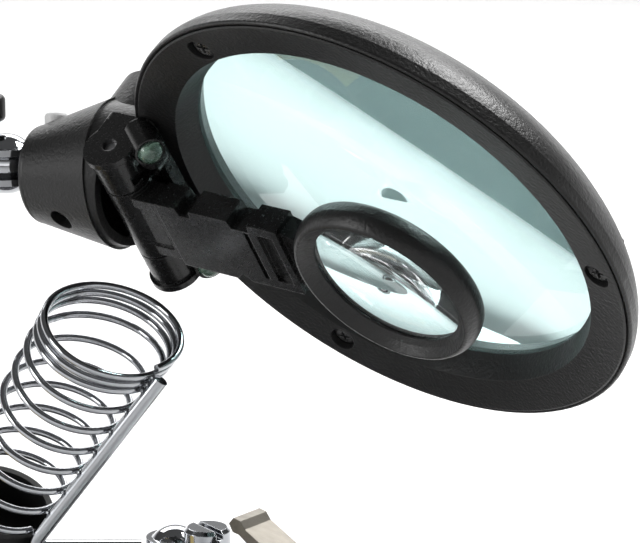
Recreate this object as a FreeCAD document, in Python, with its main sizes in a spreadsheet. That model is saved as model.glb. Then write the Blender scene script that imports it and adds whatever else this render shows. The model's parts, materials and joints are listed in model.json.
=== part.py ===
"""Helping hands clamp: a heavy base that carries a lit magnifier, two sprung clips and an iron holder.

Frame: origin at the centre of the base on the bench surface, +Z up, +X to the user's right, and the
user's side towards -Y.  Millimetres.
"""
import FreeCAD, Part
import math
import os
import Sketcher

Vector = FreeCAD.Vector
Rotation = FreeCAD.Rotation
Placement = FreeCAD.Placement

doc = FreeCAD.newDocument("helping_hands_clamp")

# ---------------------------------------------------------------- driving dimensions

DRIVING_SIZES = {
    # base and what stands on it
    "base_length": 176.0, "base_width": 98.0, "base_top": 12.0, "base_corner": 14.0,
    "pad_thickness": 2.0,
    "boss_top": 16.0, "tray_x": -46.0, "tray_y": -19.0, "tray_length": 58.0, "tray_width": 44.0,
    "tray_height": 8.0, "sheet_metal": 1.0,
    # column, cross bar and ball clamps
    "column_x": -14.0, "column_y": 17.0, "column_radius": 4.5, "cross_height": 45.0, "hub_height": 12.0,
    "ball_radius": 4.8, "neck_of_ball": 1.7, "rod_radius": 3.0, "cross_reach": 70.6,
    "post_ball_height": 59.0, "ball_spacing": 27.0, "arm_bend": 5.5,
    "plate_inside": 2.4, "plate_thickness": 1.4, "cup_radius": 6.3, "clamp_screw_radius": 2.0,
    "knob_half_length": 13.0, "knob_width": 5.6, "knob_height": 5.7, "knob_lift": 8.5,
    # magnifier head
    "head_x": 99.2, "head_y": -42.0, "head_z": 130.0,
    "head_yaw": -36.0, "head_pitch": 4.19, "head_roll": 128.2,
    "lens_radius": 45.0, "lens_edge": 3.0, "lens_rise": 3.4, "lens_front": -5.6,
    "opening_radius": 45.5, "seat_radius": 43.5, "face_radius": 53.4, "face_rise": 1.3,
    "rim_radius": 54.4, "rim_depth": 12.6, "shell_wall": 1.4, "screw_circle": 48.9,
    "neck_small": 9.9, "neck_large": 15.5, "neck_length": 18.5, "neck_tilt": 15.0,
    "neck_start_x": -62.8, "neck_start_z": 2.3,
    # small lens on its flip arm
    "barrel_x": -51.5, "barrel_z": 9.5, "barrel_radius": 4.9, "barrel_half": 19.0,
    "knuckle_half": 9.2, "pin_radius": 1.5, "arm_face": 14.0, "arm_thickness": 6.0,
    "arm_start": -42.0, "arm_end": -12.4, "arm_half": 9.0, "loupe_x": 9.7,
    "loupe_outer": 19.8, "loupe_glass": 17.0, "loupe_window": 15.6, "loupe_face": 15.8,
    "loupe_depth": 6.4,
    # iron holder
    "coil_wire": 0.75, "coil_radius": 13.65, "coil_end_radius": 10.0,
    "stand_x": 12.0, "stand_y": -22.0, "stand_rod": 1.5, "cup_height": 11.0,
    # sprung clips
    "clip_reach": 85.4, "clip_ball_y": -4.6, "clip_length": 50.0, "clip_pivot": 21.0,
    "jaw_outer_half": 4.4, "jaw_inner_half": 3.4, "jaw_metal": 0.7, "nut_radius": 5.0,
}


def text_of(item):
    """Expression text of a plain number or a driven size."""
    if isinstance(item, Size):
        return item.text
    return "(%.6f)" % float(item)


class Size:
    """A number that also keeps the sheet expression it is worked out from."""

    def __init__(self, value, text):
        self.value = value
        self.text = text

    def __float__(self):
        return float(self.value)

    def __add__(self, other):
        return Size(float(self) + float(other), "(%s + %s)" % (self.text, text_of(other)))

    def __sub__(self, other):
        return Size(float(self) - float(other), "(%s - %s)" % (self.text, text_of(other)))

    def __mul__(self, other):
        return Size(float(self) * float(other), "(%s * %s)" % (self.text, text_of(other)))

    def __truediv__(self, other):
        return Size(float(self) / float(other), "(%s / %s)" % (self.text, text_of(other)))

    def __radd__(self, other):
        return self + other

    def __rsub__(self, other):
        return Size(float(other) - float(self), "(%s - %s)" % (text_of(other), self.text))

    def __rmul__(self, other):
        return self * other

    def __neg__(self):
        return Size(-float(self), "(0 - %s)" % self.text)


class Driving:
    """The spreadsheet's cells, read as attributes."""


def make_sheet():
    """Spreadsheet with one named cell for each driving size."""
    sheet = doc.addObject("Spreadsheet::Sheet", "Sizes")
    driving = Driving()
    for row, (name, value) in enumerate(DRIVING_SIZES.items(), start=1):
        sheet.set("A%d" % row, name)
        sheet.set("B%d" % row, str(value))
        sheet.setAlias("B%d" % row, name)
        setattr(driving, name, Size(value, "Sizes." + name))
    doc.recompute()
    return driving


d = make_sheet()


def bind(thing, path, size):
    """Give a property its value, and its expression if the value comes from the sheet."""
    owner, names = thing, path.split(".")
    if len(names) == 1:
        setattr(owner, path, float(size))
    if isinstance(size, Size):
        thing.setExpression(path, size.text)


# ---------------------------------------------------------------- sketches and bodies

def rounded_box(length, width, corner, centre_x=0.0, centre_y=0.0):
    """Outline of a rectangle with round corners, anticlockwise."""
    half_x, half_y = length / 2, width / 2
    left, right = centre_x - half_x, centre_x + half_x
    low, high = centre_y - half_y, centre_y + half_y
    return [(left + corner, low), (right - corner, low), (right, low + corner, corner),
            (right, high - corner), (right - corner, high, corner), (left + corner, high),
            (left, high - corner, corner), (left, low + corner), (left + corner, low, corner)][:-1] + [
            ("close", corner)]


def box(left, low, right, high):
    """Outline of a rectangle between two corners."""
    return [(left, low), (right, low), (right, high), (left, high)]


def arc_between(start, end, radius):
    """Arc from start to end: anticlockwise for a positive radius, clockwise for a negative one."""
    middle = (start + end) / 2
    chord = end - start
    half = chord.Length / 2
    side = Vector(-chord.y, chord.x, 0).normalize()
    reach = math.sqrt(max(radius * radius - half * half, 0.0))
    centre = middle + side * (reach if radius > 0 else -reach)
    first, last = (start, end) if radius > 0 else (end, start)
    first_angle = math.atan2(first.y - centre.y, first.x - centre.x)
    last_angle = math.atan2(last.y - centre.y, last.x - centre.x)
    if last_angle < first_angle:
        last_angle += 2 * math.pi
    circle = Part.Circle(centre, Vector(0, 0, 1), abs(radius))
    return Part.ArcOfCircle(circle, first_angle, last_angle)


def fix_point(sketch, edge, point, x, y):
    """Hold one end of an edge at x, y from the sketch's origin."""
    for kind, size in (("DistanceX", x), ("DistanceY", y)):
        index = sketch.addConstraint(Sketcher.Constraint(kind, -1, 1, edge, point, float(size)))
        if isinstance(size, Size):
            sketch.setExpression("Constraints[%d]" % index, size.text)


def draw_outline(sketch, outline):
    """Closed outline.  A corner's third value is the radius of the arc that arrives there."""
    closing = None
    if outline[-1][0] == "close":
        closing = outline[-1][1]
        outline = outline[:-1]
    count = len(outline)
    ends = []
    for index in range(count):
        start = outline[index]
        end = outline[(index + 1) % count]
        radius = end[2] if len(end) > 2 else None
        if index == count - 1:
            radius = closing
        first = Vector(float(start[0]), float(start[1]), 0)
        last = Vector(float(end[0]), float(end[1]), 0)
        if radius is None:
            edge = sketch.addGeometry(Part.LineSegment(first, last), False)
            ends.append((edge, 1, 2))
            continue
        edge = sketch.addGeometry(arc_between(first, last, float(radius)), False)
        ends.append((edge, 1, 2) if float(radius) > 0 else (edge, 2, 1))
        size = radius if float(radius) > 0 else -radius
        if abs((last - first).Length / 2 - float(size)) < 1e-6:
            upright = abs(last.y - first.y) > abs(last.x - first.x)
            kind, level = ("DistanceX", start[0]) if upright else ("DistanceY", start[1])
            held = sketch.addConstraint(Sketcher.Constraint(kind, -1, 1, edge, 3, float(level)))
            size = level
        else:
            held = sketch.addConstraint(Sketcher.Constraint("Radius", edge, float(size)))
        if isinstance(size, Size):
            sketch.setExpression("Constraints[%d]" % held, size.text)
    for index in range(count):
        here, there = ends[index], ends[(index + 1) % count]
        sketch.addConstraint(Sketcher.Constraint("Coincident", here[0], here[2], there[0], there[1]))
    for index in range(count):
        fix_point(sketch, ends[index][0], ends[index][1], outline[index][0], outline[index][1])


class Piece:
    """One sub-part made as a PartDesign body, in its own local frame."""

    def __init__(self, label, place=None):
        self.body = doc.addObject("PartDesign::Body", label)
        self.body.Label = label
        self.body.AllowCompound = True
        if place is not None:
            self.body.Placement = place

    def sketch(self, plane, outlines, start=0.0, circles=()):
        """Sketch on one of the body's own planes, moved along its normal by start."""
        sketch = self.body.newObject("Sketcher::SketchObject", self.body.Name + "_sketch")
        plane_object = [item for item in self.body.Origin.OriginFeatures if item.Role == plane][0]
        sketch.AttachmentSupport = [(plane_object, "")]
        sketch.MapMode = "FlatFace"
        sketch.AttachmentOffset = Placement(Vector(0, 0, float(start)), Rotation())
        if isinstance(start, Size):
            sketch.setExpression("AttachmentOffset.Base.z", start.text)
        for outline in outlines:
            draw_outline(sketch, outline)
        for x, y, radius in circles:
            centre = Vector(float(x), float(y), 0)
            edge = sketch.addGeometry(Part.Circle(centre, Vector(0, 0, 1), float(radius)), False)
            index = sketch.addConstraint(Sketcher.Constraint("Radius", edge, float(radius)))
            if isinstance(radius, Size):
                sketch.setExpression("Constraints[%d]" % index, radius.text)
            fix_point(sketch, edge, 3, x, y)
        return sketch

    def turn(self, outline, kind="PartDesign::Revolution"):
        """Turn an outline of (radius, height) about the body's Z axis."""
        sketch = self.sketch("XZ_Plane", [outline])
        feature = self.body.newObject(kind, self.body.Name + "_turned")
        feature.Profile = sketch
        feature.ReferenceAxis = (sketch, ["V_Axis"])
        feature.Angle = 360
        return self

    def groove(self, outline):
        """Cut a turned outline away."""
        return self.turn(outline, "PartDesign::Groove")

    def pad(self, start, depth, outlines=(), plane="XY_Plane", circles=()):
        """Add a flat layer that begins at start along the plane's normal."""
        sketch = self.sketch(plane, outlines, start, circles)
        feature = self.body.newObject("PartDesign::Pad", self.body.Name + "_pad")
        feature.Profile = sketch
        bind(feature, "Length", depth)
        return self

    def cut(self, start, depth, outlines=(), plane="XY_Plane", circles=()):
        """Cut a flat layer that begins at start along the plane's normal."""
        doc.recompute()
        before = self.body.Shape.Volume
        sketch = self.sketch(plane, outlines, start, circles)
        feature = self.body.newObject("PartDesign::Pocket", self.body.Name + "_cut")
        feature.Profile = sketch
        feature.Reversed = True
        bind(feature, "Length", depth)
        doc.recompute()
        if not self.body.Shape.Volume < before - 1e-6:
            raise ValueError("a cut takes nothing from " + self.body.Label)
        return self

    def ring_pattern(self, count):
        """Repeat the last feature round the body's Z axis."""
        last = self.body.Tip
        pattern = self.body.newObject("PartDesign::PolarPattern", self.body.Name + "_pattern")
        pattern.Originals = [last]
        axis = [item for item in self.body.Origin.OriginFeatures if item.Role == "Z_Axis"][0]
        pattern.Axis = (axis, [""])
        pattern.Angle = 360
        pattern.Occurrences = count
        self.body.Tip = pattern
        return self

    def round_edges(self, radius, wanted, kind="PartDesign::Fillet"):
        """Round or chamfer the edges whose centre of mass the test accepts."""
        doc.recompute()
        last = self.body.Tip
        names = ["Edge%d" % (number + 1) for number, edge in enumerate(last.Shape.Edges)
                 if wanted(edge)]
        feature = self.body.newObject(kind, self.body.Name + "_soft")
        feature.Base = (last, names)
        bind(feature, "Size" if kind.endswith("Chamfer") else "Radius", radius)
        return self


# ---------------------------------------------------------------- primitives and booleans

def at(x=0.0, y=0.0, z=0.0, axis=None):
    """Placement at a point, with the local Z axis turned to the given direction."""
    turn = Rotation(Vector(0, 0, 1), Vector(*axis)) if axis is not None else Rotation()
    return Placement(Vector(float(x), float(y), float(z)), turn)


def rod(name, radius, length, place=None):
    """Round bar along its local Z axis."""
    item = doc.addObject("Part::Cylinder", name)
    bind(item, "Radius", radius)
    bind(item, "Height", length)
    item.Placement = place or Placement()
    return item


def taper(name, start_radius, end_radius, length, place=None):
    """Cone frustum along its local Z axis."""
    item = doc.addObject("Part::Cone", name)
    bind(item, "Radius1", start_radius)
    bind(item, "Radius2", end_radius)
    bind(item, "Height", length)
    item.Placement = place or Placement()
    return item


def ball(name, radius, place=None):
    """Full sphere."""
    item = doc.addObject("Part::Sphere", name)
    bind(item, "Radius", radius)
    item.Placement = place or Placement()
    return item


def block(name, length, width, height, place):
    """Box from its lowest corner."""
    item = doc.addObject("Part::Box", name)
    bind(item, "Length", length)
    bind(item, "Width", width)
    bind(item, "Height", height)
    item.Placement = place
    return item


def joined(name, parts):
    """One solid from several that overlap."""
    item = doc.addObject("Part::MultiFuse", name)
    item.Shapes = parts
    item.Refine = True
    return item


def without(name, solid, tools):
    """A solid with the tools cut away."""
    tool = tools[0] if len(tools) == 1 else joined(name + "_tools", tools)
    item = doc.addObject("Part::Cut", name)
    item.Base = solid
    item.Tool = tool
    item.Refine = True
    return item


def gathered(name, parts):
    """Several separate solids kept as one sub-part."""
    item = doc.addObject("Part::Compound", name)
    item.Links = parts
    return item


def finished(item, label, place=None):
    """Name the sub-part and put it in place."""
    item.Label = label
    if place is not None:
        item.Placement = place
    return item


SUB_PARTS = []


def keep(item, label=None, place=None):
    """Add a sub-part to the list that is written out."""
    if isinstance(item, Piece):
        item = item.body
    if label is not None:
        finished(item, label, place)
    SUB_PARTS.append(item)
    return item


# ---------------------------------------------------------------- local frames

def frame(origin, x_way, z_hint):
    """Placement with local X along x_way and local Z as near z_hint as it can be."""
    x_axis = Vector(x_way).normalize()
    y_axis = Vector(z_hint).cross(x_axis).normalize()
    z_axis = x_axis.cross(y_axis)
    return Placement(Vector(origin), Rotation(x_axis, y_axis, z_axis, "XZY"))


HEAD = Placement(Vector(float(d.head_x), float(d.head_y), float(d.head_z)),
                 Rotation(float(d.head_yaw), float(d.head_pitch), float(d.head_roll)))
NECK_WAY = Vector(-math.cos(math.radians(float(d.neck_tilt))), 0,
                  math.sin(math.radians(float(d.neck_tilt))))
NECK_START = Vector(float(d.neck_start_x), 0, float(d.neck_start_z))
NECK = HEAD * Placement(NECK_START, Rotation(Vector(0, 0, 1), NECK_WAY))

STUD_REACH = 8.0
STUD_LIFT = 2.4
STUD_RADIUS = 2.6
LOCK_FROM_END = 9.6
SWITCH_ALONG = 14.8
SWITCH_TURN = Placement(Vector(), Rotation(Vector(0, 0, 1), -40.5))
NECK_END = HEAD.multVec(NECK_START + NECK_WAY * float(d.neck_length))
OUTWARD = HEAD.Rotation.multVec(NECK_WAY)
HEAD_BALL = NECK_END + OUTWARD * STUD_REACH + Vector(0, 0, STUD_LIFT)
ARM_TOP = Vector(HEAD_BALL.x - math.sqrt(float(d.ball_spacing) ** 2
                                         - (HEAD_BALL.y - float(d.column_y)) ** 2),
                 float(d.column_y), HEAD_BALL.z)
ARM_LOW = Vector(float(d.column_x), float(d.column_y), float(d.post_ball_height + d.ball_spacing))
POST_BALL = Vector(float(d.column_x), float(d.column_y), float(d.post_ball_height))
UP = Vector(0, 0, 1)


# ---------------------------------------------------------------- base

def make_base():
    """Cast slab with two bosses and a tray recess, on a glued rubber pad."""
    slab = Piece("base_casting")
    outline = rounded_box(d.base_length, d.base_width, d.base_corner)
    slab.pad(d.pad_thickness, d.base_top - d.pad_thickness, [outline])
    slab.round_edges(2.5, lambda edge: abs(edge.BoundBox.ZMin - float(d.base_top)) < 0.01)
    slab.pad(d.base_top, d.boss_top - d.base_top, circles=[(d.column_x, d.column_y, 12.0)])
    slab.pad(d.base_top, d.boss_top - d.base_top, circles=[(d.stand_x, d.stand_y, 8.0)])
    recess = rounded_box(d.tray_length + 0.6, d.tray_width + 0.6, 6.3, d.tray_x, d.tray_y)
    slab.cut(d.base_top - 2.0, 4.0, [recess])
    slab.cut(d.pad_thickness, d.boss_top, circles=[(d.column_x, d.column_y, 3.02)])
    slab.cut(d.pad_thickness, 4.0, circles=[(d.column_x, d.column_y, 7.0)])
    slab.cut(d.pad_thickness + 3.0, d.boss_top, circles=[(d.stand_x, d.stand_y, d.stand_rod + 0.06)])
    keep(slab)

    pad = Piece("rubber_pad")
    pad.pad(0.0, d.pad_thickness, [rounded_box(d.base_length - 6, d.base_width - 6, d.base_corner - 3)])
    keep(pad)

    tray = Piece("sponge_tray", at(d.tray_x, d.tray_y, d.base_top - 2.0))
    tray.pad(0.0, d.tray_height, [rounded_box(d.tray_length, d.tray_width, 6.0)])
    inside = rounded_box(d.tray_length - 2 * d.sheet_metal, d.tray_width - 2 * d.sheet_metal, 5.0)
    tray.cut(d.sheet_metal, d.tray_height, [inside])
    keep(tray)

    sponge = Piece("cleaning_sponge", at(d.tray_x, d.tray_y, d.base_top - 2.0))
    pad_outline = rounded_box(d.tray_length - 3.0, d.tray_width - 3.0, 4.5)
    sponge.pad(d.sheet_metal + 0.05, 9.0, [pad_outline])
    keep(sponge)


def make_column():
    """Turned post with a ball on top, and the nut under the base."""
    ball_at = float(d.post_ball_height)
    post = Piece("column_bar", at(d.column_x, d.column_y, 0))
    hub_low = d.cross_height - d.hub_height / 2
    post.turn([(0, d.pad_thickness + 0.6), (3.0, d.pad_thickness + 0.6), (3.0, d.boss_top),
               (9.0, d.boss_top), (9.0, d.boss_top + 3.0), (6.5, d.boss_top + 5.0), (6.5, hub_low - 0.1),
               (d.column_radius, hub_low - 0.1), (d.column_radius, ball_at - 7.6),
               (d.neck_of_ball, ball_at - 6.6), (d.neck_of_ball, ball_at - 3.0),
               (0, ball_at - 3.0)])
    top_ball = ball("column_ball", d.ball_radius, at(d.column_x, d.column_y, ball_at))
    keep(joined("column_turned", [post.body, top_ball]), "column_post")

    nut = Piece("column_nut", at(d.column_x, d.column_y, 0))
    hexagon = [(6.0 * math.cos(math.radians(60 * k)), 6.0 * math.sin(math.radians(60 * k)))
               for k in range(6)]
    nut.pad(d.pad_thickness + 0.2, 3.7, [hexagon])
    nut.cut(d.pad_thickness, 6.0, circles=[(0, 0, 3.02)])
    keep(nut)


# ---------------------------------------------------------------- cross bar

def make_cross_bar():
    """Hub that turns on the post, two side rods with balls, and the thumb screw that locks it."""
    hub = Piece("cross_hub", at(d.column_x, d.column_y, d.cross_height))
    half = d.hub_height / 2
    hub.turn([(d.column_radius + 0.08, -half), (9.0, -half), (10.0, -half + 1.0), (10.0, half - 1.0),
              (9.0, half), (d.column_radius + 0.08, half)])
    hub.cut(6.8, 6.0, circles=[(0, 0, d.rod_radius + 0.02)], plane="YZ_Plane")
    hub.cut(-12.8, 6.0, circles=[(0, 0, d.rod_radius + 0.02)], plane="YZ_Plane")
    hub.cut(-11.0, 8.0, circles=[(0, 0, 2.5)], plane="XZ_Plane")
    keep(hub)

    rods = []
    for side in (-1, 1):
        way = (side, 0, 0)
        name = "right" if side > 0 else "left"
        bar = rod("cross_bar_" + name, d.rod_radius, d.cross_reach - 6.9 - 7.2,
                  at(d.column_x + 6.9 * side, d.column_y, d.cross_height, way))
        neck = rod("cross_neck_" + name, d.neck_of_ball, 6.0,
                   at(d.column_x + side * (d.cross_reach - 8.0), d.column_y, d.cross_height, way))
        end = ball("cross_ball_" + name, d.ball_radius,
                   at(d.column_x + side * d.cross_reach, d.column_y, d.cross_height))
        rods.append(joined("cross_rod_" + name, [bar, neck, end]))
    keep(gathered("cross_rod_pair", rods), "cross_rods")

    screw = Piece("hub_thumb_screw", at(d.column_x, d.column_y, d.cross_height, (0, 1, 0)))
    screw.turn([(0, d.column_radius + 0.1), (2.4, d.column_radius + 0.1), (2.4, 11.5), (4.5, 11.5),
                (4.5, 13.0), (7.0, 13.8), (7.0, 20.2), (6.2, 21.0), (0, 21.0)])
    screw.cut(13.0, 9.0, circles=[(7.4, 0, 0.9)])
    screw.ring_pattern(14)
    keep(screw)


# ---------------------------------------------------------------- double-ball clamps

def clamp_plate(name, side, spacing):
    """Pressed plate with a cup at each end; side is +1 above the balls and -1 below."""
    half = spacing / 2
    low = d.plate_inside if side > 0 else -(d.plate_inside + d.plate_thickness)
    strip = Piece(name + "_strip")
    radius = d.cup_radius
    strip.pad(low, d.plate_thickness,
              [[(-half, -radius), (half, -radius), (half, radius, radius), (-half, radius),
                ("close", radius)]])
    cups = [ball("%s_cup_%d" % (name, end), d.cup_radius, at(end * float(half)))
            for end in (-1, 1)]
    keep_zone = block(name + "_zone", 80, 40, 10,
                      at(-40, -20, float(d.plate_inside) if side > 0 else -10 - float(d.plate_inside)))
    cup_pair = joined(name + "_cups", cups)
    domes = doc.addObject("Part::Common", name + "_domes")
    domes.Base = cup_pair
    domes.Tool = keep_zone
    body = joined(name + "_body", [strip.body, domes])
    hollows = [ball("%s_hollow_%d" % (name, end), d.ball_radius + 0.06, at(end * float(half)))
               for end in (-1, 1)]
    hole = rod(name + "_hole", d.clamp_screw_radius + 0.06, 20, at(0, 0, -10))
    return without(name, body, hollows + [hole])


def t_knob(name, lift, place):
    """Moulded bar handle with round ends on a short boss."""
    length, half = d.knob_half_length, d.knob_width / 2
    knob = Piece(name, place)
    knob.pad(lift, d.knob_height,
             [[(-length + half, -half), (length - half, -half), (length - half, half, half),
               (-length + half, half), ("close", half)]])
    knob.round_edges(1.3, lambda edge: abs(edge.BoundBox.ZMax - edge.BoundBox.ZMin) < 0.01)
    knob.pad(lift - 1.4, 1.6, circles=[(0, 0, 3.6)])
    knob.cut(lift - 2.0, 5.0, circles=[(0, 0, d.clamp_screw_radius)])
    keep(knob)


def clamp_screw(name, top, place):
    """Threaded shank through both plates, with a collar on the upper one and a nut below."""
    plate_top = d.plate_inside + d.plate_thickness
    screw = Piece(name, place)
    screw.turn([(0, -plate_top - 3.4), (1.6, -plate_top - 3.4), (2.0, -plate_top - 3.0),
                (2.0, -plate_top - 2.2), (3.4, -plate_top - 2.2), (3.4, -plate_top - 0.05),
                (2.0, -plate_top - 0.05), (2.0, plate_top + 0.05), (3.6, plate_top + 0.05),
                (3.6, plate_top + 0.9), (2.0, plate_top + 0.9), (2.0, top), (0, top)])
    keep(screw)


def make_ball_clamp(name, place, lift):
    """Two plates, the screw through them and its bar handle."""
    keep(clamp_plate(name + "_top_plate", 1, d.ball_spacing), name + "_top_plate", place)
    keep(clamp_plate(name + "_bottom_plate", -1, d.ball_spacing), name + "_bottom_plate", place)
    clamp_screw(name + "_screw", lift + 3.0, place)
    t_knob(name + "_knob", lift, place)


def make_arm():
    """Arm that rises from its lower ball and bends over to the ball that carries the magnifier."""
    low, top = ARM_LOW, ARM_TOP
    corner = Vector(low.x, low.y, top.z)
    path = round_path([low + UP * 7.5, corner, top - Vector(7.2, 0, 0)], float(d.arm_bend))
    bar = swept_wire("arm_bar", path, d.rod_radius)
    necks = [rod("arm_neck_low", d.neck_of_ball, 9.0, at(low.x, low.y, low.z)),
             rod("arm_neck_top", d.neck_of_ball, 9.0, at(top.x - 9.0, top.y, top.z, (1, 0, 0)))]
    ends = [ball("arm_ball_low", d.ball_radius, at(low.x, low.y, low.z)),
            ball("arm_ball_top", d.ball_radius, at(top.x, top.y, top.z))]
    keep(joined("arm_turned", [bar] + necks + ends), "arm_rod")


def make_clamps():
    """The clamp at the foot of the arm, and the one that carries the magnifier."""
    lower_middle = (POST_BALL + ARM_LOW) / 2
    make_ball_clamp("lower_clamp", frame(lower_middle, UP, Vector(-1, 0, 0)), d.knob_lift)
    upper_middle = (ARM_TOP + HEAD_BALL) / 2
    make_ball_clamp("upper_clamp", frame(upper_middle, HEAD_BALL - ARM_TOP, UP), d.knob_lift)


# ---------------------------------------------------------------- magnifier head

def make_stud():
    """Ball stud that the neck is pinned to."""
    place = Placement(HEAD_BALL, Rotation(Vector(0, 0, 1), -OUTWARD))
    neck = rod("stud_neck", d.neck_of_ball, STUD_REACH + 9.0)
    shank = rod("stud_shank", STUD_RADIUS, 12.6, at(0, 0, STUD_REACH + 0.4))
    keep(joined("stud_turned", [neck, shank, ball("stud_ball", d.ball_radius)]), "neck_stud", place)


def make_bezel():
    """Flat front ring with the sloping wall that frames the lens."""
    front = d.lens_front + 0.35
    bezel = Piece("lower_bezel", HEAD)
    bezel.turn([(d.seat_radius, front), (d.opening_radius + 1.0, front), (d.opening_radius + 1.4, -2.0),
                (d.face_radius - 0.2, d.face_rise - 2.2), (d.face_radius, d.face_rise - 0.2),
                (d.face_radius - 0.3, d.face_rise), (d.opening_radius, 0.0)])
    bezel.pad(-4.2, 3.8, circles=[(d.screw_circle, 0, 2.4)])
    bezel.ring_pattern(3)
    bezel.cut(-0.9, 4.0, circles=[(d.screw_circle, 0, 2.7)])
    bezel.ring_pattern(3)
    bezel.cut(-8.0, 9.0, circles=[(d.screw_circle, 0, 1.3)])
    bezel.ring_pattern(3)
    return bezel


def neck_outline():
    """Half section of the hollow neck, from its large end outwards."""
    wall = d.shell_wall
    length = d.neck_length
    return [(d.neck_large - wall, 0.0), (d.neck_large, 0.0), (d.neck_small + 0.3, length - 1.5),
            (d.neck_small - 1.2, length, 1.5), (0, length), (0, length - 13.5),
            (d.neck_large - 3.2, length - 13.5), (d.neck_large - wall - 0.3, 2.0)]


def make_shell():
    """Rounded back shell with the socket that the neck sits on and the battery well."""
    shell = Piece("upper_shell_rim")
    rim, wall, depth = d.rim_radius, d.shell_wall, d.rim_depth
    shell.turn([(d.face_radius + 0.15, 0.9), (rim - 0.4, 1.1), (rim, 0.5, -0.7), (rim - 0.1, -1.6),
                (rim - 1.3, -4.6, -12.0), (rim - 3.4, -7.4, -14.0), (rim - 6.4, -10.1, -20.0),
                (d.lens_radius, -depth + 0.4, -14.0), (d.seat_radius, -depth),
                (d.seat_radius, d.lens_front - d.lens_edge - 0.35),
                (d.lens_radius + 0.1, d.lens_front - d.lens_edge - 0.35),
                (d.lens_radius + 0.1, d.lens_front), (d.lens_radius + 0.9, d.lens_front),
                (d.lens_radius + 0.9, -depth + 2.2), (rim - 7.0, -8.7),
                (rim - 4.2, -6.3), (rim - 2.4, -3.6), (rim - wall, -1.6), (rim - wall, -0.2),
                (d.face_radius + 0.15, -0.2)])
    socket = taper("neck_socket", d.neck_large - 0.5, d.neck_large - 2.0, 13.0,
                   Placement(NECK_START, Rotation(Vector(0, 0, 1), -NECK_WAY)))
    socket_core = taper("neck_socket_core", d.neck_large - 2.2, d.neck_large - 3.4, 12.0,
                        Placement(NECK_START + NECK_WAY, Rotation(Vector(0, 0, 1), -NECK_WAY)))
    well = rod("battery_well", 12.6, 11.0, at(-60.0, 0, -15.2))
    fused = joined("shell_fused", [shell.body, socket, well])
    lens_space = rod("lens_space", d.lens_radius + 0.9, 40, at(0, 0, -12.2))
    lens_window = rod("lens_window", d.seat_radius, 60, at(0, 0, -30))
    hinge_room = block("hinge_room", 30, 60, 30, at(-57.6, -30, 1.2))
    face_room = rod("face_room", d.face_radius + 0.15, 12, at(0, 0, -2.6))
    cell_room = rod("cell_room", 10.3, 8.0, at(-60.0, 0, -12.2))
    cap_room = rod("cap_room", 11.2, 3.2, at(-60.0, 0, -15.4))
    neck_room = taper("neck_room", d.neck_large + 0.02, d.neck_small, d.neck_length,
                      Placement(NECK_START, Rotation(Vector(0, 0, 1), NECK_WAY)))
    screw_holes = [rod("shell_hole_%d" % number, 1.1, 5.0,
                       at(float(d.screw_circle) * math.cos(angle), float(d.screw_circle) * math.sin(angle),
                          -8.9))
                   for number, angle in enumerate(math.radians(120 * k) for k in range(3))]
    shell_solid = without("shell_open", fused,
                          [socket_core, lens_window, hinge_room, face_room, cell_room, cap_room, neck_room]
                          + screw_holes)
    lens_space_cut = without("shell_cleared", shell_solid, [lens_space_ring(lens_space)])
    keep(lens_space_cut, "upper_shell", HEAD)


def lens_space_ring(space):
    """Room inside the lens seat, ahead of the seat's own lip."""
    lip = rod("seat_lip", d.lens_radius + 0.9, 3.9, at(0, 0, -12.3))
    return without("lens_space_ring", space, [lip])


def make_neck():
    """Tapered neck moulding with the recess of its lock screw."""
    neck = Piece("neck_cone_turned")
    neck.turn(neck_outline())
    along = d.neck_length - LOCK_FROM_END
    recess = rod("lock_recess", 2.5, 12.0, at(8.6, 0, along, (1, 0, 0)))
    bore = rod("lock_bore", 1.45, 9.0, at(0.3, 0, along, (1, 0, 0)))
    stud_hole = rod("stud_hole", STUD_RADIUS + 0.06, 30.0, Placement(stud_offset(), Rotation()))
    button_hole = rod("button_hole", 2.5, 8.0, SWITCH_TURN * at(-8.0, 0, SWITCH_ALONG, (-1, 0, 0)))
    well_room = rod("well_room", 12.7, 11.2, (neck_place().inverse() * HEAD) * at(-60.0, 0, -15.4))
    keep(without("neck_open", neck.body, [recess, bore, stud_hole, button_hole, well_room]), "neck_cone",
         neck_place())


def neck_place():
    """Neck frame turned so that its local X points to the user's side of the head."""
    x_axis = HEAD.Rotation.multVec(Vector(math.sin(math.radians(float(d.neck_tilt))), 0,
                                          math.cos(math.radians(float(d.neck_tilt)))))
    z_axis = OUTWARD
    return Placement(HEAD.multVec(NECK_START), Rotation(x_axis, z_axis.cross(x_axis), z_axis, "ZXY"))


def stud_offset():
    """Where the stud's line crosses the neck's large end, in the neck frame."""
    return neck_place().inverse().multVec(HEAD_BALL - OUTWARD * (STUD_REACH + float(d.neck_length)))


def make_lens(name, radius, edge, rise, front, place):
    """Double-convex lens: two shallow domes on a straight edge; front is where the front dome starts."""
    dome = Size(0, "0") + (radius * radius + rise * rise) / (2 * rise)
    lens = Piece(name, place)
    lens.turn([(0, front - edge - rise), (radius, front - edge, dome), (radius, front),
               (0, front + rise, dome)])
    keep(lens)


def phillips(name, head_radius, head_height, shank_radius, length, places):
    """Pan head screws with a cross recess; the head's top is at local z = 0."""
    screws = []
    for number, place in enumerate(places):
        screw = Piece("%s_%d" % (name, number), place)
        screw.turn([(0, -length), (shank_radius, -length), (shank_radius, -head_height),
                    (head_radius, -head_height), (head_radius, -0.45), (head_radius - 0.6, -0.1, 0.8),
                    (0, 0)])
        arm, half = head_radius * 0.62, 0.32
        cross = [(-arm, -half), (-half, -half), (-half, -arm), (half, -arm), (half, -half), (arm, -half),
                 (arm, half), (half, half), (half, arm), (-half, arm), (-half, half), (-arm, half)]
        screw.cut(-1.0, 2.0, [cross])
        screws.append(screw.body)
    return screws


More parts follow.
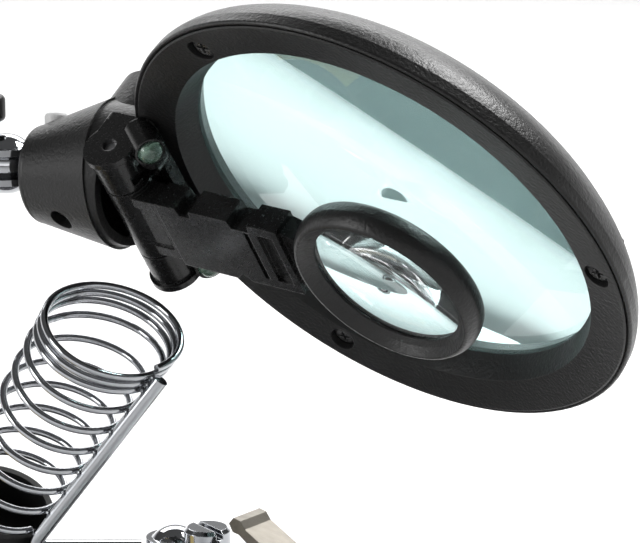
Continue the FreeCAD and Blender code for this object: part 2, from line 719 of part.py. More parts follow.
def make_head():
    """The magnifier head: casings, lens, screws, lamps, cells, cap and switch."""
    make_stud()
    keep(make_bezel())
    make_shell()
    make_neck()
    make_lens("main_lens", d.lens_radius, d.lens_edge, d.lens_rise, d.lens_front, HEAD)

    spots = [HEAD * at(float(d.screw_circle) * math.cos(math.radians(120 * k)),
                       float(d.screw_circle) * math.sin(math.radians(120 * k)), -0.1) for k in range(3)]
    keep(gathered("bezel_screw_set", phillips("bezel_screw", 2.3, 0.75, 1.08, 8.6, spots)),
         "bezel_screws")
    lock_at = neck_place() * at(10.2, 0, d.neck_length - LOCK_FROM_END, (1, 0, 0))
    keep(phillips("neck_screw", 2.3, 1.4, 1.4, 8.9, [lock_at])[0], "neck_screw")

    cell = Piece("button_cell", HEAD * at(-60.0, 0, 0))
    cell.pad(-11.6, 5.0, circles=[(0, 0, 10.0)])
    cell.round_edges(0.4, lambda edge: edge.BoundBox.XLength > 15)
    keep(cell)
    contact = Piece("battery_contact", HEAD * at(-60.0, 0, 0))
    contact.pad(-6.4, 0.4, [box(-7.0, -2.0, 7.0, 2.0)])
    keep(contact)
    cap = Piece("battery_cap", HEAD * at(-60.0, 0, 0))
    cap.pad(-14.9, 2.5, circles=[(0, 0, 11.0)])
    cap.round_edges(0.5, lambda edge: abs(edge.BoundBox.ZMin + 14.9) < 0.01 and edge.BoundBox.XLength > 15)
    cap.cut(-15.4, 1.7, [[(-6.5, -0.9), (6.5, -0.9), (6.5, 0.9, 0.95), (-6.5, 0.9), ("close", 0.95)]])
    keep(cap)


def make_switch():
    """Push button that stands out of the neck near its end."""
    button = Piece("switch_button", neck_place() * SWITCH_TURN * at(-9.2, 0, SWITCH_ALONG, (-1, 0, 0)))
    button.turn([(0, 0), (2.42, 0), (2.42, 2.7), (1.8, 3.4, 1.2), (0, 3.4)])
    keep(button)


# ---------------------------------------------------------------- hinge, arm and small lens

def along_y(x, z, start):
    """Placement in the head frame for a piece turned about a line parallel to Y."""
    return Placement(Vector(float(x), float(start), float(z)), Rotation(UP, Vector(0, 1, 0)))


def make_hinge_base():
    """Two ribbed knuckles on a foot that is screwed to the head."""
    x, z, radius = d.barrel_x, d.barrel_z, d.barrel_radius
    foot = Piece("hinge_foot")
    foot.pad(1.35, 2.8, [rounded_box(11.4, 2 * d.barrel_half, 1.6, -51.7, 0)])
    parts = [foot.body]
    for side in (-1, 1):
        outer = 9.6 if side > 0 else -19.0
        parts.append(rod("knuckle_%d" % side, radius, 9.4, along_y(x, z, outer)))
        parts.append(block("knuckle_web_%d" % side, 2 * radius, 9.4, 6.0,
                           at(float(x - radius), outer, 3.4)))
        parts.append(rod("knuckle_rib_%d" % side, radius + 0.7, 1.4,
                         along_y(x, z, 17.6 if side > 0 else -19.0)))
    parts.append(rod("screw_boss", 3.3, 3.6, at(-47.6, 11.8, 3.4)))
    parts += [rod("lamp_tube_%d" % side, 3.1, 7.4, lamp_place(side, -4.6)) for side in (-1, 1)]
    fused = joined("hinge_base_fused", parts)
    pin_hole = rod("pin_hole", d.pin_radius + 0.02, 60, along_y(x, z, -30))
    screw_seat = rod("screw_seat", 2.6, 4.0, at(-47.6, 11.8, 5.9))
    screw_hole = rod("screw_hole", 1.2, 12.0, at(-47.6, 11.8, 0))
    lamp_holes = [rod("lamp_hole_%d" % side, 2.6, 9.0, lamp_place(side, -3.6)) for side in (-1, 1)]
    bezel_room = rod("bezel_room", d.face_radius + 1.0, 10.0, at(0, 0, -8.65))
    knuckle_room = rod("knuckle_room", radius + 0.35, 2 * d.knuckle_half + 0.6,
                       along_y(x, z, -float(d.knuckle_half) - 0.3))
    keep(without("hinge_base_open", fused,
                 [pin_hole, screw_seat, screw_hole, bezel_room, knuckle_room] + lamp_holes),
         "hinge_base", HEAD)
    top = HEAD * at(-47.6, 11.8, 6.9)
    keep(phillips("hinge_screw", 2.2, 0.9, 1.15, 5.3, [top])[0], "hinge_screw")
    pin = rod("hinge_pin_bar", d.pin_radius, 36.0, along_y(x, z, -18.0))
    keep(pin, "hinge_pin", HEAD * along_y(x, z, -18.0))


def lamp_place(side, start):
    """Lamp axis: it leaves the hinge foot towards the lens and slightly up, beside the arm."""
    way = Vector(0.8, 0, 0.6)
    point = Vector(-45.6, 17.0 * side, 6.0) + way * start
    return Placement(point, Rotation(UP, way))


def make_lamps():
    """Two round lamps and the strip that joins them."""
    lamps = []
    for side in (-1, 1):
        body = rod("lamp_body_%d" % side, 2.45, 5.0, lamp_place(side, -2.6))
        dome = ball("lamp_dome_%d" % side, 2.45, lamp_place(side, 2.4))
        flange = rod("lamp_flange_%d" % side, 2.58, 1.0, lamp_place(side, -3.2))
        lamps.append(joined("lamp_%d" % side, [body, dome, flange]))
    keep(gathered("lamp_pair", lamps), "led_lamps", HEAD)


def make_flip_arm():
    """Middle knuckle, bracket, notched arm and the ring that holds the small lens."""
    x, z, radius = d.barrel_x, d.barrel_z, d.barrel_radius
    face, thick = d.arm_face, d.arm_thickness
    bracket = Piece("bracket_plate")
    bracket.pad(face - thick, thick - 0.5, [box(-50.6, -8.2, d.arm_start - 0.15, 8.2)])
    bracket.cut(face - 1.1, 3.0, [rounded_box(5.8, 11.6, 0.8, -46.2, 0)])
    bracket.pad(face - 1.6, 0.7, [rounded_box(4.6, 10.2, 0.6, -46.2, 0)])
    knuckle = rod("middle_knuckle", radius, 2 * d.knuckle_half, along_y(x, z, -float(d.knuckle_half)))
    solid = joined("bracket_fused", [bracket.body, knuckle])
    pin_hole = rod("bracket_hole", d.pin_radius + 0.06, 60, along_y(x, z, -30))
    tongue_slot = block("tongue_slot", 4.0, 9.0, 2.2, at(float(d.arm_start) - 2.8, -4.5,
                                                         float(face - thick) + 1.6))
    keep(without("bracket_open", solid, [pin_hole, tongue_slot]), "flip_bracket", HEAD)

    arm = Piece("lens_arm_plate")
    low, high, half = d.arm_start, d.arm_end, d.arm_half
    outline = [(low, -half), (low + 13.4, -half), (low + 15.2, -half + 1.8), (low + 17.0, -half),
               (high, -half), (high, half), (low + 22.8, half), (low + 22.4, half - 2.0),
               (low + 18.4, half - 2.0), (low + 17.8, half), (low + 8.6, half),
               (low + 8.2, half - 2.0), (low + 5.6, half - 2.0), (low + 5.2, half), (low, half)]
    arm.pad(face - thick, thick, [outline])
    arm.cut(face - 0.9, 2.0, [box(high - 8.6, -half + 2.2, high - 7.4, half - 2.2),
                              box(high - 5.4, -half + 2.2, high - 1.6, half - 2.2)])
    arm.cut(face - thick - 1.0, thick - 0.8, [box(low + 3.0, -half + 2.0, high - 3.0, half - 3.6)])
    arm.pad(face - thick + 1.7, 2.0, [box(low - 2.6, -4.4, low + 3.2, 4.4)])
    arm.pad(face - thick, thick - 1.2, [[(high - 0.2, -half + 1.4), (high + 3.8, -half + 3.0),
                                         (high + 3.8, half - 3.0), (high - 0.2, half - 1.4)]])
    ring_room = rod("ring_room", d.loupe_outer + 0.02, 30, at(d.loupe_x, 0, 0))
    keep(without("lens_arm_cut", arm.body, [ring_room]), "lens_arm", HEAD)

    ring = Piece("loupe_ring", HEAD * at(d.loupe_x, 0, 0))
    top, outer = d.loupe_face, d.loupe_outer
    ring.turn([(d.loupe_glass + 0.05, top - d.loupe_depth), (outer - 1.4, top - d.loupe_depth),
               (outer - 0.3, top - d.loupe_depth + 1.2, 1.8), (outer, top - 3.2, 9.0),
               (outer - 1.1, top - 0.3, 5.0), (outer - 1.9, top, 1.0), (d.loupe_window + 1.0, top - 1.6),
               (d.loupe_window, top - 2.4), (d.loupe_window, top - 2.9),
               (d.loupe_glass + 0.05, top - 2.9)])
    keep(ring)
    make_lens("loupe_lens", d.loupe_glass, 1.2, 2.0, top - 3.4, HEAD * at(d.loupe_x, 0, 0))
    retainer = Piece("loupe_retainer", HEAD * at(d.loupe_x, 0, 0))
    retainer.turn([(d.loupe_window - 0.1, top - 6.3), (d.loupe_glass, top - 6.3),
                   (d.loupe_glass, top - 5.05), (d.loupe_window + 0.6, top - 5.05)])
    keep(retainer)


# ---------------------------------------------------------------- iron holder

COIL_MOUTH = Vector(47.6, -31.3, 107.3)
COIL_NORMAL = Vector(0.286, -0.385, 0.877).normalize()
COIL_LEAN = Vector(0.533, -0.122, 0.836).normalize()
CLOSED_TURNS = 3
OPEN_TURNS = 7
COIL_LENGTH = 44.0
CLOSED_GAP = 0.25
SPAN_HALVES = 4
ROD_SIDE = -88.0
ROD_GAP = 0.15
ROD_TOP = 1.0
ROD_BELOW_CUP = 17.0
ROD_BEND = 5.0
ELBOW_DROP = 7.0
FOOT_SEAT = 3.2


def rod_side():
    """Direction in the coil's own frame from its centre line to the rod beside it."""
    return Rotation(UP, ROD_SIDE).multVec(Vector(1, 0, 0))


def coil_wire_path(points, across):
    """Half-circle turns from each point to the next, which bulge to alternate sides."""
    edges = []
    bulge = across
    for start, end in zip(points, points[1:]):
        reach = (end - start).Length / 2
        edges.append(Part.Arc(start, (start + end) / 2 + bulge * reach, end).toShape())
        bulge = bulge * -1
    return Part.Wire(edges)


def swept_wire(name, path, radius):
    """Round wire of the given radius along a path."""
    spine = doc.addObject("Part::Feature", name + "_path")
    spine.Shape = path
    start = path.Edges[0]
    first = start.valueAt(start.FirstParameter)
    tangent = start.tangentAt(start.FirstParameter)
    ring = doc.addObject("Part::Circle", name + "_section")
    bind(ring, "Radius", radius)
    ring.Placement = Placement(first, Rotation(UP, tangent))
    sweep = doc.addObject("Part::Sweep", name)
    sweep.Sections = [ring]
    sweep.Spine = (spine, ["Edge%d" % (number + 1) for number in range(len(path.Edges))])
    sweep.Solid = True
    sweep.Transition = "Transformed"
    return sweep


def coil_frame():
    """Frame at the coil's mouth: Z out of the mouth, X so that the coil leans in the X-Z plane."""
    lean = COIL_LEAN - COIL_NORMAL * COIL_LEAN.dot(COIL_NORMAL)
    x_axis = Vector(lean).normalize()
    return Placement(COIL_MOUTH, Rotation(x_axis, COIL_NORMAL.cross(x_axis), COIL_NORMAL, "ZXY"))


def make_coil():
    """Holder coil: touching turns at the mouth, then open turns that lean and narrow to the cup."""
    place = coil_frame()
    lean = place.Rotation.inverted().multVec(COIL_LEAN)
    half_turns = 2 * (CLOSED_TURNS + OPEN_TURNS)
    closed_halves = 2 * CLOSED_TURNS
    closed_step = float(d.coil_wire) + CLOSED_GAP / 2
    closed_length = closed_halves * closed_step
    open_step = (COIL_LENGTH - closed_length) / (half_turns - closed_halves)
    side = rod_side()
    points = []
    for half in range(half_turns + 1):
        along = min(half, closed_halves) * closed_step + max(half - closed_halves, 0) * open_step
        narrowing = float(d.coil_end_radius) - float(d.coil_radius)
        spread = float(d.coil_radius) + narrowing * along / COIL_LENGTH
        points.append(lean * -along + side * (spread if half % 2 == 0 else -spread))
    spans = []
    for first in range(0, half_turns, SPAN_HALVES):
        path = coil_wire_path(points[first:first + SPAN_HALVES + 1], UP.cross(side))
        spans.append(swept_wire("coil_span_%d" % first, path, d.coil_wire))
    keep(gathered("coil_spans", spans), "iron_coil", place)
    return place, lean


def round_path(points, radius):
    """Straight runs joined by arcs of one radius."""
    edges = []
    here = points[0]
    for before, corner, after in zip(points, points[1:], points[2:]):
        way_in = (corner - before).normalize()
        way_out = (after - corner).normalize()
        turn = math.acos(max(-1.0, min(1.0, way_in.dot(way_out))))
        back = radius * math.tan(turn / 2)
        start, end = corner - way_in * back, corner + way_out * back
        inside = (way_out - way_in).normalize()
        depth = radius * (1 / math.cos(turn / 2) - 1)
        edges.append(Part.LineSegment(here, start).toShape())
        edges.append(Part.Arc(start, corner + inside * depth, end).toShape())
        here = end
    edges.append(Part.LineSegment(here, points[-1]).toShape())
    return Part.Wire(edges)


def make_stand():
    """Rod that carries the coil, the cup at the coil's narrow end and the clamp nut at the base."""
    place, lean = make_coil()
    side = rod_side()
    reach = side * (float(d.coil_radius + d.coil_wire + d.stand_rod) + ROD_GAP)
    cup_reach = float(d.coil_end_radius + d.coil_wire + d.stand_rod) + ROD_GAP
    top = place.multVec(lean * -ROD_TOP + reach)
    cup_side = place.multVec(lean * -COIL_LENGTH + side * cup_reach)
    below_cup = place.multVec(lean * -COIL_LENGTH + side * cup_reach - Vector(0, 0, ROD_BELOW_CUP))
    elbow = Vector(float(d.stand_x), float(d.stand_y), below_cup.z - ELBOW_DROP)
    foot = Vector(float(d.stand_x), float(d.stand_y), float(d.pad_thickness) + FOOT_SEAT)
    rod_path = round_path([top, cup_side, below_cup, elbow, foot], ROD_BEND)
    keep(swept_wire("stand_swept", rod_path, d.stand_rod), "stand_rod")

    cup_place = place * Placement(lean * -COIL_LENGTH, Rotation(UP, ROD_SIDE))
    cup = Piece("coil_cup", cup_place)
    outer = d.coil_end_radius + d.coil_wire + 0.1
    cup.turn([(0, -d.cup_height), (outer - 1.5, -d.cup_height), (outer, -d.cup_height + 1.5, 1.5),
              (outer, -1.1), (outer - 1.4, -1.1), (outer - 1.4, -d.cup_height + 2.0),
              (0, -d.cup_height + 2.0)])
    cup.pad(-d.cup_height + 2.0, 6.4, [box(float(outer) - 1.0, -2.6, cup_reach, 2.6)], circles=())
    cup.pad(-d.cup_height + 2.0, 6.4, circles=[(cup_reach, 0, 3.1)])
    cup.cut(-d.cup_height, 12.0, circles=[(cup_reach, 0, d.stand_rod + 0.03)])
    keep(cup)
    nut = Piece("stand_nut", at(d.stand_x, d.stand_y, d.boss_top))
    nut.turn([(d.stand_rod + 0.02, 0.05), (5.4, 0.05), (6.0, 0.6), (6.0, 6.4), (5.2, 7.2), (3.4, 8.4),
              (d.stand_rod + 0.02, 8.4)])
    nut.cut(0.0, 7.3, circles=[(6.35, 0, 0.8)])
    nut.ring_pattern(16)
    keep(nut)


# ---------------------------------------------------------------- sprung clips

def channel(name, outline, half_width, metal, inner, place):
    """Pressed channel: a side outline as wide as the channel, hollowed by an inner outline."""
    piece = Piece(name, place)
    piece.pad(-half_width, 2 * half_width, [outline], plane="XZ_Plane")
    piece.cut(-half_width + metal, 2 * half_width - 2 * metal, [inner], plane="XZ_Plane")
    return piece


def teeth(start, end, count, level, height):
    """Saw edge from start to end, pointing up for a positive height."""
    step = (end - start) / count
    points = []
    for number in range(count):
        left = start + step * number
        points += [(left, level), (left + step * 0.5, level + height)]
    return points + [(end, level)]


def clip_ball(side):
    """Centre of a clip's ball."""
    return Vector(float(d.column_x + side * d.clip_reach), float(d.clip_ball_y), float(d.cross_height))


def make_clip(name, side):
    """Clip on a ball stem: fixed lower jaw, sprung upper jaw, pin and spring."""
    ball_at = clip_ball(side)
    place = frame(ball_at, Vector(0.8 * side, -0.6, 0), UP)
    pivot, length, metal = d.clip_pivot, d.clip_length, d.jaw_metal
    stem = joined(name + "_stem_turned",
                  [ball(name + "_stem_ball", d.ball_radius),
                   rod(name + "_stem_neck", d.neck_of_ball, 10.0, at(axis=(1, 0, 0))),
                   rod(name + "_stem_bar", 2.3, 9.4, at(x=7.0, axis=(1, 0, 0)))])
    keep(stem, name + "_ball_stem", place)

    half = d.jaw_inner_half
    saw = teeth(30.0, 47.5, 9, 0.0, 0.9)
    lower = [(9.0, -3.2), (pivot, -4.4), (30.0, -3.6), (48.6, -2.2), (length, -1.4), (length, -0.2)] + [
        (x, z) for x, z in reversed(saw)] + [(26.0, 1.2), (pivot + 3.0, 3.4), (pivot - 3.0, 3.4),
                                             (pivot - 6.0, 2.6), (9.0, 2.6)]
    hollow = [(8.0, -2.4), (pivot, -3.7), (30.0, -2.9), (48.0, -1.5), (48.0, 6.0), (8.0, 6.0)]
    jaw = channel(name + "_lower_jaw", lower, half, metal, hollow, place)
    jaw.cut(-8.0, 16.0, circles=[(pivot, 0.6, 0.9)], plane="XZ_Plane")
    keep(jaw)

    wide = d.jaw_outer_half
    saw = teeth(30.0, 49.0, 9, 1.1, -0.9)
    upper = [(0.4, 14.6), (1.4, 12.9), (3.0, 12.6), (pivot - 5.0, 3.6), (pivot - 3.2, -1.8),
             (pivot + 3.2, -1.8), (27.0, 1.1)] + saw + [
        (length, 1.6), (48.8, 3.0), (30.0, 5.4), (pivot, 6.6), (16.0, 7.6), (4.6, 14.0), (3.4, 15.6),
        (1.6, 16.0)]
    hollow = [(-1.0, 11.0), (3.6, 11.6), (15.6, 6.5), (pivot, 5.8), (30.0, 4.6), (48.2, 2.3),
              (48.2, -4.0), (-1.0, -4.0)]
    jaw = channel(name + "_upper_jaw", upper, wide, metal, hollow, place)
    jaw.cut(-8.0, 16.0, circles=[(pivot, 0.6, 0.87)], plane="XZ_Plane")
    keep(jaw)

    pin_place = place * Placement(Vector(float(pivot), -4.9, 0.6), Rotation(UP, Vector(0, 1, 0)))
    pin = Piece(name + "_jaw_pin", pin_place)
    pin.turn([(0, 0), (1.3, 0), (1.3, 0.45), (0.85, 0.45), (0.85, 9.35), (1.3, 9.35), (1.3, 9.8), (0, 9.8)])
    keep(pin)
    spring = Piece(name + "_jaw_spring", pin_place)
    waist = []
    for ring in range(4):
        base = 2.55 + 1.2 * ring
        waist += [(2.0, base), (2.3, base + 0.3), (2.3, base + 0.8), (2.0, base + 1.1)]
    spring.turn([(1.1, 2.55)] + waist + [(1.1, waist[-1][1])])
    keep(spring)


def make_clip_clamp(name, side):
    """Clamp between the cross bar's end ball and the clip's ball, tightened by a slotted nut."""
    inner = Vector(float(d.column_x + side * d.cross_reach), float(d.column_y), float(d.cross_height))
    outer = clip_ball(side)
    place = frame((inner + outer) / 2, outer - inner, UP)
    spacing = (outer - inner).Length
    for side_name, level in (("top", 1), ("bottom", -1)):
        label = "%s_clamp_%s_plate" % (name, side_name)
        keep(clamp_plate(label, level, spacing), label, place)
    plate_top = d.plate_inside + d.plate_thickness
    nut = Piece(name + "_slotted_nut", place)
    nut.turn([(0, -plate_top - 2.8), (2.0, -plate_top - 2.8), (2.0, plate_top + 0.05),
              (d.nut_radius, plate_top + 0.05), (d.nut_radius, 8.6), (d.nut_radius - 0.8, 9.4), (0, 9.4)])
    nut.cut(7.6, 3.0, [box(-6.0, -0.8, 6.0, 0.8)])
    keep(nut)


# ---------------------------------------------------------------- build, check, write

make_base()
make_column()
make_cross_bar()
make_arm()
make_clamps()
make_head()
make_switch()
make_hinge_base()
make_lamps()
make_flip_arm()
make_stand()
for clip_name, clip_side in (("right", 1), ("left", -1)):
    make_clip_clamp(clip_name, clip_side)
    make_clip(clip_name, clip_side)

doc.recompute()
broken = [item.Label for item in doc.Objects if {"Invalid", "Error"} & set(item.State)]
if broken:
    raise ValueError("failed objects: " + ", ".join(broken))

os.makedirs("parts", exist_ok=True)
for item in SUB_PARTS:
    shape = item.Shape
    if shape.isNull() or not shape.isValid() or not shape.Solids:
        raise ValueError("bad shape: " + item.Label)
    shape.exportStep("parts/%s.step" % item.Label)
    print("%-28s solids %d volume %9.1f" % (item.Label, len(shape.Solids), shape.Volume))
print(len(SUB_PARTS), "sub-parts")
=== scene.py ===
"""Looks of the helping hands clamp: materials, sponge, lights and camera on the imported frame."""

import json
import math

import bmesh
import bpy
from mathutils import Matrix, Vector, noise


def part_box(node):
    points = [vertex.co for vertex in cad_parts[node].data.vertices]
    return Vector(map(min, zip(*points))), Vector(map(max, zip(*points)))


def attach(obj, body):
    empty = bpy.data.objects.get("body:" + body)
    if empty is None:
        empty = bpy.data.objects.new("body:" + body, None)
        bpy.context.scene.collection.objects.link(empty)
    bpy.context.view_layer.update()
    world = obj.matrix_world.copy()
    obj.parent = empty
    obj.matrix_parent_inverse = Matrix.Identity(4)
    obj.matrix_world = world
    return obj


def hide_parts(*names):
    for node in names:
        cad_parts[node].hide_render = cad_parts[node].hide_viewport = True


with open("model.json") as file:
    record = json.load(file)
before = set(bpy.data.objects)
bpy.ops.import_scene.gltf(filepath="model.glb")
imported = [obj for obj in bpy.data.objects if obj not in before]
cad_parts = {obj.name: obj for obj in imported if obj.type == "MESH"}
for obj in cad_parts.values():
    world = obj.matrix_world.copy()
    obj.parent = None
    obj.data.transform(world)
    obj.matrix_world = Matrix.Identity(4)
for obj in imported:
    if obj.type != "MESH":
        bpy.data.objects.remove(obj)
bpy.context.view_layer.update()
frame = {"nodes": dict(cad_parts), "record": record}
NODES = frame["nodes"]
MM = 0.001
BEVEL_SAMPLES = 4
MIX_FACTOR, MIX_FIRST, MIX_SECOND, MIX_RESULT = 0, 6, 7, 2     # colour sockets of the Mix node
SCRATCH_DEPTH = 0.004 * MM


# ---------------------------------------------------------------- node helpers

def fill_ramp(elements, stops):
    """Set a colour ramp's stops, each a place and a colour or grey."""
    while len(elements) < len(stops):
        elements.new(0.5)
    for element, (place, value) in zip(elements, stops):
        element.position = place
        rgb = (value,) * 3 if isinstance(value, (int, float)) else value
        element.color = (*rgb, 1.0)


class Shader:
    """A Principled material with small helpers to wire its textures."""

    def __init__(self, name, **sockets):
        self.material = bpy.data.materials.new(name)
        self.material.use_nodes = True
        self.tree = self.material.node_tree
        self.surface = self.tree.nodes["Principled BSDF"]
        for socket, value in sockets.items():
            self.surface.inputs[socket.replace("_", " ")].default_value = value
        coords = self.node("ShaderNodeTexCoord")
        self.coords = coords.outputs["Object"]
        self.normal = None

    def node(self, kind, **values):
        made = self.tree.nodes.new(kind)
        for key, value in values.items():
            if hasattr(made, key):
                setattr(made, key, value)
            else:
                made.inputs[key].default_value = value
        return made

    def link(self, source, target):
        self.tree.links.new(source, target)

    def noise(self, scale, detail=3.0, roughness=0.55, stretch=None):
        made = self.node("ShaderNodeTexNoise", Scale=scale, Detail=detail, Roughness=roughness)
        self.link(self.stretched(stretch), made.inputs["Vector"])
        return made.outputs["Fac"]

    def cells(self, scale, feature="F1"):
        made = self.node("ShaderNodeTexVoronoi", feature=feature, Scale=scale)
        self.link(self.coords, made.inputs["Vector"])
        return made.outputs["Distance"]

    def stretched(self, stretch):
        if stretch is None:
            return self.coords
        made = self.node("ShaderNodeMapping")
        made.inputs["Scale"].default_value = stretch
        self.link(self.coords, made.inputs["Vector"])
        return made.outputs["Vector"]

    def ramp(self, source, *stops):
        """Colours or greys at places along a 0-1 value."""
        made = self.node("ShaderNodeValToRGB")
        fill_ramp(made.color_ramp.elements, stops)
        self.link(source, made.inputs["Fac"])
        return made.outputs["Color"]

    def mix(self, amount, first, second, blend="MIX"):
        made = self.node("ShaderNodeMix", data_type="RGBA", blend_type=blend)
        for index, value in ((MIX_FACTOR, amount), (MIX_FIRST, first), (MIX_SECOND, second)):
            socket = made.inputs[index]
            if isinstance(value, (int, float)):
                socket.default_value = value
            elif isinstance(value, tuple):
                socket.default_value = (*value, 1.0)
            else:
                self.link(value, socket)
        return made.outputs[MIX_RESULT]

    def math(self, operation, first, second=0.0):
        made = self.node("ShaderNodeMath", operation=operation)
        for socket, value in zip(made.inputs, (first, second)):
            if isinstance(value, (int, float)):
                socket.default_value = value
            else:
                self.link(value, socket)
        return made.outputs[0]

    def soft_edges(self, radius):
        """Rounded normals at the edges of a machined or moulded piece."""
        made = self.node("ShaderNodeBevel", samples=BEVEL_SAMPLES, Radius=radius)
        self.normal = made.outputs["Normal"]
        self.link(self.normal, self.surface.inputs["Normal"])

    def edge_mask(self, radius, sharpness):
        """1 along the edges and 0 on the flats."""
        rounded = self.node("ShaderNodeBevel", samples=BEVEL_SAMPLES, Radius=radius)
        plain = self.node("ShaderNodeNewGeometry")
        dot = self.node("ShaderNodeVectorMath", operation="DOT_PRODUCT")
        self.link(rounded.outputs["Normal"], dot.inputs[0])
        self.link(plain.outputs["Normal"], dot.inputs[1])
        away = self.math("SUBTRACT", 1.0, dot.outputs["Value"])
        return self.math("MINIMUM", self.math("MULTIPLY", away, sharpness), 1.0)

    def bump(self, height, distance, strength=1.0):
        made = self.node("ShaderNodeBump", Distance=distance, Strength=strength)
        self.link(height, made.inputs["Height"])
        if self.normal is not None:
            self.link(self.normal, made.inputs["Normal"])
        self.normal = made.outputs["Normal"]
        self.link(self.normal, self.surface.inputs["Normal"])

    def colour(self, source):
        self.link(source, self.surface.inputs["Base Color"])

    def roughness(self, source):
        self.link(source, self.surface.inputs["Roughness"])


# ---------------------------------------------------------------- materials

def moulded_plastic(name, dark, light, rough, grain, grain_depth, edge, gloss=0.30):
    """Moulded plastic with a spark-eroded grain, rubbed edges and a little dust."""
    made = Shader(name, Specular_IOR_Level=gloss, IOR=1.5)
    made.soft_edges(0.25 * MM)
    broad = made.noise(55.0, 4.0)
    fine = made.noise(grain, 2.0, 0.6)
    body = made.mix(broad, (dark,) * 3, (light,) * 3)
    speck = made.ramp(made.cells(grain * 0.45), (0.0, light * 0.9), (0.12, 0.0), (1.0, 0.0))
    body = made.mix(1.0, body, speck, "ADD")
    worn = made.mix(made.math("MULTIPLY", made.edge_mask(0.22 * MM, 1.5), made.noise(300.0, 4.0)),
                    body, (edge,) * 3)
    made.colour(worn)
    made.roughness(made.ramp(fine, (0.3, rough * 0.88), (0.7, rough * 1.16)))
    made.bump(fine, grain_depth, 0.9)
    return made.material


def plated(name, colour, rough, wave):
    """Bright plating with faint rubbed scratches and slow waviness."""
    made = Shader(name, Metallic=1.0)
    made.soft_edges(0.25 * MM)
    cloud = made.noise(240.0, 5.0, 0.65)
    made.colour(made.mix(cloud, colour, tuple(c * 0.86 for c in colour)))
    made.roughness(made.ramp(cloud, (0.25, rough), (0.62, rough * 1.5), (0.85, rough * 3.2)))
    made.bump(made.noise(120.0, 2.0), wave, 0.35)
    made.bump(made.noise(900.0, 3.0, 0.7, (1.0, 0.08, 1.0)), SCRATCH_DEPTH, 0.5)
    return made.material


def brushed(name, colour, rough):
    """Drawn or turned steel with fine lines."""
    made = Shader(name, Metallic=1.0)
    made.soft_edges(0.2 * MM)
    lines = made.noise(700.0, 4.0, 0.7, (0.12, 1.0, 1.0))
    tone = made.mix(lines, colour, tuple(c * 0.72 for c in colour))
    made.colour(made.mix(made.ramp(made.noise(160.0, 4.0), (0.58, 0.0), (0.75, 0.5)), tone,
                         tuple(c * 0.55 for c in colour)))
    made.roughness(made.ramp(lines, (0.2, rough), (0.8, rough + 0.18)))
    made.bump(lines, 0.01 * MM, 0.6)
    return made.material


def enamel(name, dark, light):
    """Thick enamel over iron, with its hammered peel and chipped edges."""
    made = Shader(name, Specular_IOR_Level=0.5, Coat_Weight=0.35, Coat_Roughness=0.22)
    made.soft_edges(0.8 * MM)
    pebbles = made.cells(420.0, "SMOOTH_F1")
    broad = made.noise(30.0, 4.0)
    tone = made.mix(broad, dark, light)
    chips = made.math("MULTIPLY", made.edge_mask(0.9 * MM, 3.0),
                      made.ramp(made.noise(260.0, 5.0), (0.52, 0.0), (0.60, 1.0)))
    made.colour(made.mix(chips, tone, (0.16, 0.15, 0.145)))
    made.roughness(made.ramp(made.noise(90.0, 4.0), (0.3, 0.32), (0.7, 0.52)))
    made.bump(pebbles, 0.30 * MM, 0.6)
    return made.material


def rubber():
    made = Shader("rubber", Specular_IOR_Level=0.3)
    made.soft_edges(0.5 * MM)
    grain = made.noise(1800.0, 3.0)
    made.colour(made.mix(made.noise(80.0, 4.0), (0.014,) * 3, (0.040,) * 3))
    made.roughness(made.ramp(grain, (0.3, 0.72), (0.7, 0.92)))
    made.bump(grain, 0.03 * MM, 0.7)
    return made.material


def glass(name, tint, haze):
    """Polished lens glass with a faint smear and a little haze in the body."""
    made = Shader(name, Transmission_Weight=1.0 - haze, IOR=1.5)
    made.colour(made.mix(made.ramp(made.noise(25.0, 3.0), (0.35, 0.0), (0.7, 1.0)), tint,
                         tuple(min(1.0, c * 1.02) for c in tint)))
    made.roughness(made.ramp(made.noise(60.0, 5.0, 0.7), (0.45, 0.0), (0.85, 0.025)))
    return made.material


def lamp_epoxy():
    made = Shader("lamp_epoxy", Transmission_Weight=0.85, IOR=1.52)
    made.colour(made.mix(made.noise(500.0, 3.0), (0.16, 0.30, 0.22), (0.34, 0.50, 0.40)))
    made.roughness(made.ramp(made.noise(900.0, 2.0), (0.3, 0.06), (0.8, 0.22)))
    return made.material


def sponge_foam():
    made = Shader("sponge_foam", Specular_IOR_Level=0.2, Sheen_Weight=0.25, Sheen_Roughness=0.6)
    pores_and_painted_shade = made.cells(620.0, "SMOOTH_F1")
    damp = made.noise(35.0, 4.0)
    tone = made.mix(damp, (0.80, 0.55, 0.12), (0.93, 0.74, 0.28))
    # painted shade: the pore centres, where the bump dips, are coloured a dark orange that stands in for
    # the shade inside the pores
    made.colour(made.mix(made.ramp(pores_and_painted_shade, (0.05, 0.75), (0.35, 0.0)), tone, (0.42, 0.24, 0.04)))
    made.roughness(made.ramp(made.noise(400.0, 3.0), (0.3, 0.80), (0.8, 0.97)))
    made.bump(pores_and_painted_shade, 0.35 * MM, 0.8)
    return made.material


